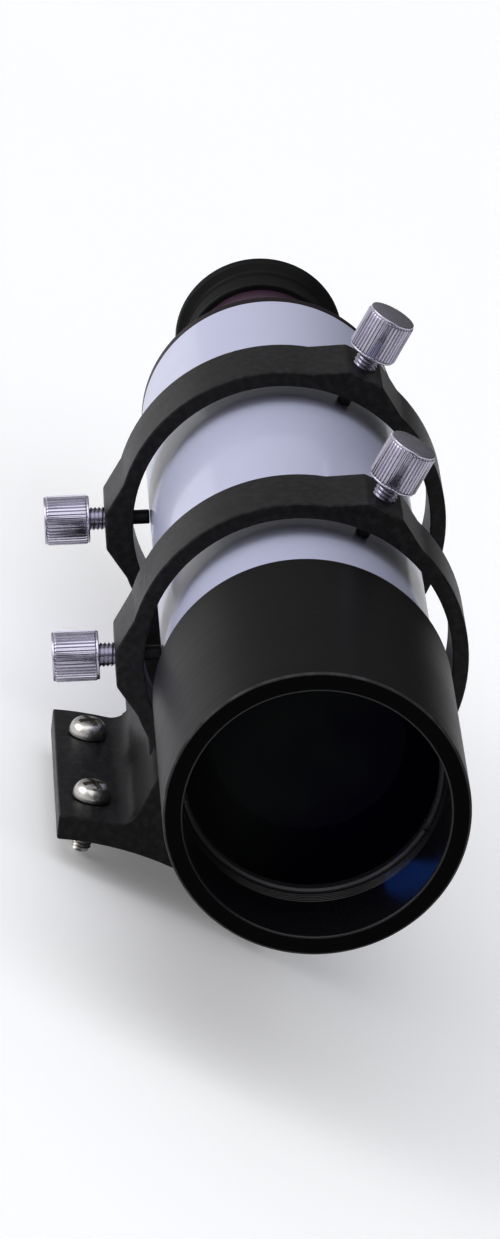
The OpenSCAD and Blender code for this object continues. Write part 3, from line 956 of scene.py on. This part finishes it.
class FINDER_OT_objective_cell(bpy.types.Operator):
    """Turns the objective cell with its long dew shield"""

    bl_idname = "finder.objective_cell"
    bl_label = "Objective Cell"

    def execute(self, context):
        sizes = context.scene.finder_tube
        finish = context.scene.finder_finish
        rim, back = CELL_LOW.y, CELL_HIGH.y
        bore = RING_R + FIT
        skirt = TUBE_R + FIT
        seat_r = LENS_R - 1.15 * MM
        seat_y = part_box("flint_lens")[1].y + GAP
        shelf_y = seat_y + 2.4 * MM
        ring_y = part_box("lens_retaining_ring")[0].y
        edge, fine = sizes.edge_round, sizes.fine_round
        corners = [
            (bore, rim, sizes.mouth_round), (CELL_R, rim, edge), (CELL_R, back, edge),
            (skirt, back, fine), (skirt, shelf_y, 0), (seat_r, shelf_y, 0), (seat_r, seat_y, 0),
            (bore, seat_y, 0)]
        groove = 0.25 * sizes.thread_pitch
        for turn in range(sizes.thread_turns):
            y = ring_y - (turn + 0.5) * sizes.thread_pitch
            corners += [(bore, y + groove, 0), (bore + groove, y, 0), (bore, y - groove, 0)]
        # The bright edge colour is a painted highlight along the rim, on top of the edge wear
        satin = paint_turned("cell_black", finish.cell, 0.36, finish, rubbed_and_lit_edge=(0.15, 0.14, 0.145))
        # The front face gets this darker black as painted shade
        painted_shade_face = paint_plastic("painted_shade_face_black", finish.face, 0.6, 0.3 * MM, {"Specular IOR Level": 0.03})
        piece = turned("cell_body", rounded(corners), satin, paint_bore(finish), painted_shade_face)
        mouth = bore + sizes.mouth_round
        assign_faces(piece, 1, lambda radius, y: radius < mouth and y < back - edge)
        # Front face: painted shade
        assign_faces(piece, 2, lambda radius, y: mouth < radius < CELL_R - edge and y < rim + edge)
        hand_over(piece, "objective_cell", "cell_black", "objective_cell")
        return {"FINISHED"}


class FINDER_OT_retaining_ring(bpy.types.Operator):
    """Turns the ring that holds the objective lens, with its two spanner slots"""

    bl_idname = "finder.retaining_ring"
    bl_label = "Retaining Ring"

    def execute(self, context):
        sizes = context.scene.finder_tube
        finish = context.scene.finder_finish
        low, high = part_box("lens_retaining_ring")
        inner = RING_R - 1 * MM
        chamfer = 0.45 * MM
        outline = rounded([
            (inner + chamfer, low.y, 0.1 * MM), (RING_R, low.y, 0.15 * MM), (RING_R, high.y, 0),
            (inner, high.y, 0), (inner, low.y + chamfer, 0.1 * MM)])
        metal = paint_turned("ring_black", (0.06, 0.06, 0.063), 0.36, finish, {"Metallic": 0.6})
        piece = turned("retaining_ring", outline, metal)
        for side in (-1, 1):
            bm = bmesh.new()
            bmesh.ops.create_cube(bm, size=1.0)
            bmesh.ops.scale(bm, verts=bm.verts, vec=(3 * MM, 1.6 * MM, sizes.slot_width / 2))
            bmesh.ops.translate(bm, verts=bm.verts, vec=(side * (RING_R + inner) / 2, low.y, AXIS_Z))
            tool = link("slot_tool", mesh_of("slot", bm))
            cut = piece.modifiers.new("Slot", "BOOLEAN")
            cut.operation, cut.object, cut.solver = "DIFFERENCE", tool, "EXACT"
            apply_modifiers(piece)
            bpy.data.objects.remove(tool)
        hand_over(piece, "objective_cell", "ring_black", "lens_retaining_ring")
        return {"FINISHED"}


class FINDER_OT_objective_lens(bpy.types.Operator):
    """Grinds the coated front lens"""

    bl_idname = "finder.objective_lens"
    bl_label = "Objective Lens"

    def execute(self, context):
        sizes = context.scene.finder_tube
        low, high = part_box("crown_lens")
        outline = cap(sizes.crown_front, LENS_R, low.y) + cap(-sizes.crown_back, LENS_R, high.y)[::-1]
        # Painted reflection: greenish on one side, blue on the other
        glass = paint_glass("coated_glass", context.scene.finder_finish.coating,
                            (0.0078, 0.0088, 0.0076), (0.0016, 0.0014, 0.0048), 0.03)
        piece = turned("front_lens", outline, glass)
        hand_over(piece, "objective_lenses", "coated_glass", "crown_lens")
        return {"FINISHED"}


class FINDER_OT_rear_adapter(bpy.types.Operator):
    """Turns the adapter that closes the back of the tube"""

    bl_idname = "finder.rear_adapter"
    bl_label = "Rear Adapter"

    def execute(self, context):
        sizes = context.scene.finder_tube
        finish = context.scene.finder_finish
        low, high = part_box("rear_adapter")
        nose = sizes.nose_d / 2
        bore = sizes.barrel_fit / 2 + FIT
        spigot = TUBE_R - TUBE_WALL - FIT
        face = TUBE_HIGH.y + GAP
        cone = face + sizes.flange + (TUBE_R - nose) * 0.85
        edge, fine = sizes.edge_round, sizes.fine_round
        outline = rounded([
            (bore + 4 * MM, low.y, 0), (spigot, low.y, fine), (spigot, face, 0), (TUBE_R, face, fine),
            (TUBE_R, face + sizes.flange, edge), (nose, cone, 2 * MM), (nose, high.y, edge),
            (bore, high.y, fine), (bore, face, 0), (bore + 4 * MM, face - 2 * MM, 0)])
        piece = turned("adapter_body", outline,
                       paint_turned("adapter_black", finish.anodised, 0.34, finish))
        hand_over(piece, "tube", "eyepiece_black", "rear_adapter")
        return {"FINISHED"}


class FINDER_OT_eyepiece_barrel(bpy.types.Operator):
    """Turns the eyepiece barrel"""

    bl_idname = "finder.eyepiece_barrel"
    bl_label = "Eyepiece Barrel"

    def execute(self, context):
        sizes = context.scene.finder_tube
        finish = context.scene.finder_finish
        low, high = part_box("eyepiece_barrel")
        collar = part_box("rear_adapter")[1].y + GAP
        bore = radius_of("reticle_ring") + FIT
        cell = EYE_LENS_R + FIT
        lip = EYE_LENS_R - 0.7 * MM
        lip_y = high.y - 1.5 * MM
        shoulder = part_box("eye_flint_lens")[0].y - GAP
        edge, fine = sizes.edge_round, sizes.fine_round
        outline = rounded([
            (bore, low.y, 0), (sizes.barrel_fit / 2, low.y, fine), (sizes.barrel_fit / 2, collar, 0),
            (BARREL_R, collar, edge), (BARREL_R, high.y, fine), (lip, high.y, edge), (lip, lip_y, 0),
            (cell, lip_y, 0), (cell, shoulder, 0), (bore, shoulder, 0)])
        piece = turned("barrel_body", outline, paint_turned(
            "barrel_plum", finish.barrel, 0.34, finish, {"Specular IOR Level": 0.3}))
        hand_over(piece, "tube", "eyepiece_black", "eyepiece_barrel")
        return {"FINISHED"}


class FINDER_OT_eye_lens(bpy.types.Operator):
    """Grinds the coated eye lens"""

    bl_idname = "finder.eye_lens"
    bl_label = "Eye Lens"

    def execute(self, context):
        sizes = context.scene.finder_tube
        low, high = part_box("eye_crown_lens")
        outline = cap(sizes.eye_front, EYE_LENS_R, low.y) + cap(-sizes.eye_back, EYE_LENS_R, high.y)[::-1]
        # Painted reflection: greenish on one side, violet on the other
        glass = paint_glass(
            "eye_glass", (0.45, 0.9, 0.6), (0.0025, 0.004, 0.003), (0.004, 0.003, 0.005), 0.03)
        piece = turned("eye_lens", outline, glass, sides=96)
        hand_over(piece, "tube", "eyepiece_glass", "eye_crown_lens")
        return {"FINISHED"}


class FINDER_OT_eyecup(bpy.types.Operator):
    """Moulds the rubber eyecup"""

    bl_idname = "finder.eyecup"
    bl_label = "Eyecup"

    def execute(self, context):
        sizes = context.scene.finder_tube
        low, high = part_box("eyecup")
        front, back = low.y, high.y
        barrel_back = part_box("eyepiece_barrel")[1].y
        sleeve = BARREL_R + GAP
        outer = sleeve + sizes.cup_wall
        web = barrel_back + GAP
        hole = EYE_LENS_R + 0.3 * MM
        corners = [(sleeve, front, 0.1 * MM), (outer, front, 0.4 * MM)]
        groove, groove_pitch = 0.3 * MM, 1.6 * MM
        for y in (front + groove_pitch, front + 2 * groove_pitch):
            corners += [(outer, y - groove, 0.1 * MM), (outer - groove, y, 0.12 * MM),
                        (outer, y + groove, 0.1 * MM)]
        corners += [
            (outer, barrel_back - 0.6 * MM, 0.4 * MM),
            (sleeve + 0.9 * MM, barrel_back + 0.8 * MM, 0.6 * MM),
            (sleeve + 1.2 * MM, back - 4 * MM, 1 * MM), (CUP_R - 0.3 * MM, back - 2.7 * MM, 0.8 * MM),
            (CUP_R, back - 1.4 * MM, 0.5 * MM), (CUP_R - 0.8 * MM, back, 0.7 * MM),
            (CUP_R - 2 * MM, back - 0.2 * MM, 0.5 * MM), (CUP_R - 4.6 * MM, back - 3.6 * MM, 1 * MM),
            (CUP_R - 6 * MM, web + 1.4 * MM, 0.5 * MM), (hole, web + 1.1 * MM, 0.3 * MM),
            (hole, web, 0), (sleeve, web, 0)]
        piece = turned("rubber_cup", rounded(corners, 3), paint_rubber(context.scene.finder_finish))
        hand_over(piece, "tube", "eyecup_rubber", "eyecup")
        return {"FINISHED"}


class FINDER_OT_inner_pieces(bpy.types.Operator):
    """Paints the frame's own lenses, spacers and reticle, which stay as they are"""

    bl_idname = "finder.inner_pieces"
    bl_label = "Inner Pieces"

    def execute(self, context):
        finish = context.scene.finder_finish
        # Painted reflection in the colour, changing from one side to the other
        glass = paint_glass(
            "inner_glass", (0.5, 0.6, 0.9), (0.004, 0.005, 0.006), (0.004, 0.003, 0.006), 0.04)
        black = paint_turned("baffle_black", (0.02, 0.02, 0.02), 0.5, finish)
        brass = paint_plate("reticle_brass", (0.72, 0.52, 0.24), 0.3, 0.2 * MM)
        wire = paint_plate("crosshair_wire", (0.12, 0.12, 0.12), 0.35, 0.1 * MM)
        finishes = {
            "flint_lens": glass, "field_lens": glass, "eye_flint_lens": glass,
            "lens_spacer": black, "eyepiece_lock_ring": black, "reticle_ring": brass, "crosshair": wire}
        for node, painted in finishes.items():
            mesh = frame["nodes"][node].data
            mesh.materials.clear()
            mesh.materials.append(painted)
        return {"FINISHED"}


TOWARDS_CAMERA = (-0.2262, -0.9185, 0.3243)     # from the front ring
UPRIGHT = (-0.5, 0, 0.866)                      # for the camera, which leans with the bracket
FRONT_RING_Y = -1.5 * MM
AIM = (-4.5 * MM, -18 * MM, -9 * MM)            # of the camera, from the scope's middle on its axis
KEY_SPREAD, TOP_SPREAD = math.radians(50), math.radians(70)
GLOW_COLOUR = (0.03, 0.2, 1.0)
GLOW_SIZE = 7 * MM
GLOW_HEIGHT = 11 * MM                           # of the lamp over the bore's wall
GLOW_DEPTH = 9 * MM                             # of the spot it lights, behind the cell's rim
GAMMA = 0.88                                    # deepens the dark finishes


class FINDER_OT_stage(bpy.types.Operator):
    """Adds the pale floor, the soft lights and the camera"""

    bl_idname = "finder.stage"
    bl_label = "Stage"

    def execute(self, context):
        scene, sizes = context.scene, context.scene.finder_stage
        low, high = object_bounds()
        bm = bmesh.new()
        bmesh.ops.create_grid(bm, x_segments=2, y_segments=2, size=4.0)
        bmesh.ops.translate(bm, verts=bm.verts, vec=(0, 0, low.z - 0.2 * MM))
        link("floor", mesh_of("floor", bm), paint_floor(scene.finder_finish))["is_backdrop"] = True

        # The camera stands in front of and above the scope
        towards_camera = Vector(TOWARDS_CAMERA).normalized()
        upright = Vector(UPRIGHT)
        right = upright.cross(towards_camera).normalized()
        up = towards_camera.cross(right)
        eye = Vector((0, FRONT_RING_Y, AXIS_Z)) + towards_camera * sizes.distance
        target = Vector((0, (low.y + high.y) / 2, AXIS_Z)) + Vector(AIM)
        back = (eye - target).normalized()
        turned_right = upright.cross(back).normalized()
        basis = Matrix((turned_right, back.cross(turned_right), back)).transposed()
        camera_data = bpy.data.cameras.new("camera")
        camera_data.lens = sizes.lens
        camera_data.clip_start, camera_data.clip_end = 0.05, 20
        camera = bpy.data.objects.new("camera", camera_data)
        camera.rotation_mode = "QUATERNION"
        camera.rotation_quaternion = (basis @ Matrix.Rotation(sizes.roll, 3, "Z")).to_quaternion()
        camera.location = eye
        scene.collection.objects.link(camera)
        scene.camera = camera

        # The room is bright at the upper left and dim opposite, which gives metal its contrast
        world = bpy.data.worlds.new("studio")
        world.use_nodes = True
        tree = world.node_tree
        bright_side = (0.75 * up - 0.75 * right + 0.35 * towards_camera).normalized()
        looking = add(tree, "ShaderNodeTexCoord").outputs["Generated"]
        facing = add(tree, "ShaderNodeVectorMath", {0: looking, 1: bright_side}, operation="DOT_PRODUCT")
        sky = tree.nodes["Background"]
        sky.inputs["Color"].default_value = (0.96, 0.97, 1.0, 1.0)
        tree.links.new(map_range(tree, facing.outputs["Value"], -0.3, 1.0, sizes.dim, sizes.bright),
                       sky.inputs["Strength"])
        scene.world = world
        scene.view_settings.view_transform = "Standard"
        scene.view_settings.gamma = GAMMA

        def add_light(name, kind, direction, strength, colour):
            lamp = bpy.data.lights.new(name, kind)
            lamp.energy, lamp.color = strength, colour
            light = bpy.data.objects.new(name, lamp)
            light.rotation_mode = "QUATERNION"
            light.rotation_quaternion = direction.to_track_quat("Z", "Y")
            scene.collection.objects.link(light)
            return light

        key_side = -0.9 * right + 0.8 * up + 0.45 * towards_camera
        key = add_light("key_light", "SUN", key_side, sizes.key, (1.0, 0.98, 0.97))
        key.data.angle = KEY_SPREAD
        top = add_light("top_light", "SUN", Vector((-0.2, -0.5, 1.0)), sizes.top, (0.97, 0.98, 1.0))
        top.data.angle = TOP_SPREAD

        # The coated lens throws a little blue light on the bore's wall
        outward = 0.66 * right - 0.75 * up
        outward = Vector((outward.x, 0, outward.z)).normalized()
        spot = Vector((0, CELL_LOW.y + GLOW_DEPTH, AXIS_Z)) + RING_R * outward
        source = (-2 * outward * outward.dot(-towards_camera) - towards_camera).normalized()
        glow = add_light("lens_glow", "AREA", source, sizes.glow, GLOW_COLOUR)
        glow.data.shape, glow.data.size = "DISK", GLOW_SIZE
        glow.location = spot + source * GLOW_HEIGHT
        glow.visible_camera = False
        return {"FINISHED"}


PIECES = [
    FINDER_OT_bracket, FINDER_OT_foot_screws, FINDER_OT_thumbscrews, FINDER_OT_soft_tips,
    FINDER_OT_main_tube, FINDER_OT_objective_cell, FINDER_OT_retaining_ring, FINDER_OT_objective_lens,
    FINDER_OT_rear_adapter, FINDER_OT_eyepiece_barrel, FINDER_OT_eye_lens, FINDER_OT_eyecup,
    FINDER_OT_inner_pieces, FINDER_OT_stage,
]


class FINDER_PT_panel(bpy.types.Panel):
    """Lists the pieces and their settings"""

    bl_idname = "FINDER_PT_panel"
    bl_label = "Finder Scope"
    bl_space_type = "VIEW_3D"
    bl_region_type = "UI"
    bl_category = "Finder"

    def draw(self, context):
        for piece in PIECES:
            self.layout.operator(piece.bl_idname)
        for name, kind in SETTINGS.items():
            box = self.layout.box()
            box.label(text=kind.__doc__)
            for setting in kind.__annotations__:
                box.prop(getattr(context.scene, name), setting)


def register():
    for kind in [*SETTINGS.values(), *PIECES, FINDER_PT_panel]:
        bpy.utils.register_class(kind)
    for name, kind in SETTINGS.items():
        setattr(bpy.types.Scene, name, bpy.props.PointerProperty(type=kind))
    for make_tree in (rod_tree, thread_tree, thumbscrew_tree, soft_tip_tree, pan_screw_tree):
        make_tree()


def unregister():
    for name in SETTINGS:
        delattr(bpy.types.Scene, name)
    for kind in reversed([*SETTINGS.values(), *PIECES, FINDER_PT_panel]):
        bpy.utils.unregister_class(kind)


def main():
    register()
    for piece in PIECES:
        group, name = piece.bl_idname.split(".")
        getattr(getattr(bpy.ops, group), name)()


if __name__ == "__main__":
    main()
